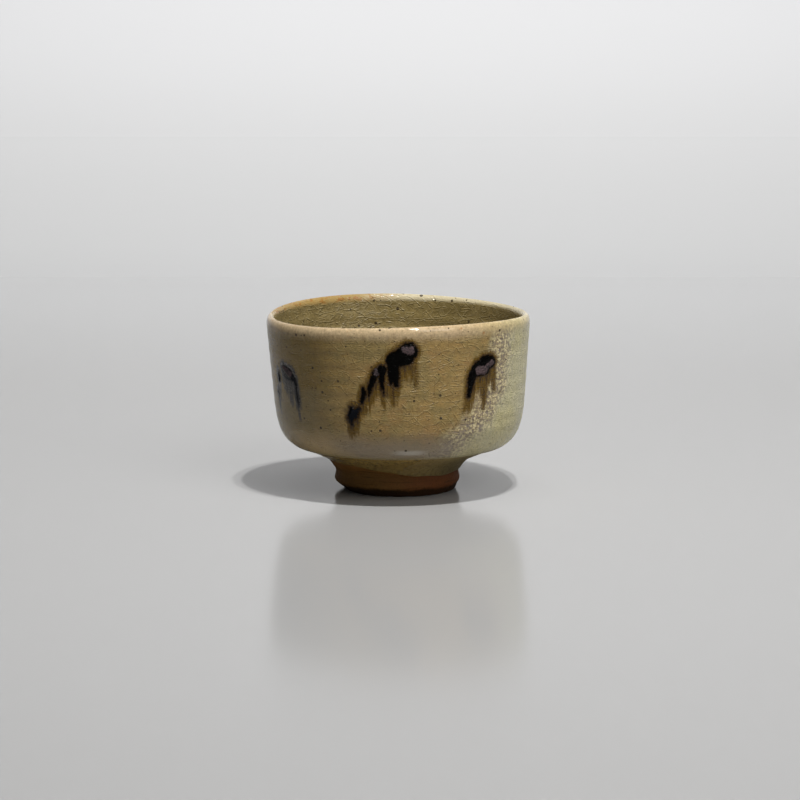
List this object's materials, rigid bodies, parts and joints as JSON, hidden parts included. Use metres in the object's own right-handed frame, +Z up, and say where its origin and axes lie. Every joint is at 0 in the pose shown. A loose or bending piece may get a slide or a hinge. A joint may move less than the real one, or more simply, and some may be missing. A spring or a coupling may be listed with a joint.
{
  "type": "matcha bowl",
  "caption": "Thrown stoneware tea bowl on a low turned foot, with crackled olive ash glaze and brushed iron marks.",
  "frame": {"origin": "on the bowl's axis, in the plane that the foot stands on", "axes": "+Z up along the bowl's axis, -Y towards the front with the group of iron marks, +X to the right of that front"},
  "size_m": [0.12, 0.1202, 0.082],
  "materials": {
    "stoneware": "bare iron-rich clay, fired red-brown to near black",
    "outer_ash_glaze": "semi-gloss crackled ash glaze, olive turning to pale celadon",
    "inner_ash_glaze": "semi-gloss crackled olive ash glaze with iron specks",
    "iron_mark": "thick iron glaze, glossy black with a dull skin on its heads"
  },
  "bodies": {
    "root": {"thrown_body": "stoneware", "turned_foot": "stoneware", "inner_glaze": "inner_ash_glaze", "outer_glaze": "outer_ash_glaze", "top_dab": "iron_mark", "middle_dab": "iron_mark", "link_dab": "iron_mark", "low_dab": "iron_mark", "right_dab": "iron_mark", "left_dab": "iron_mark", "edge_dab": "iron_mark", "back_dab_a": "iron_mark", "back_dab_b": "iron_mark", "back_dab_c": "iron_mark"}
  },
  "joints": []
}
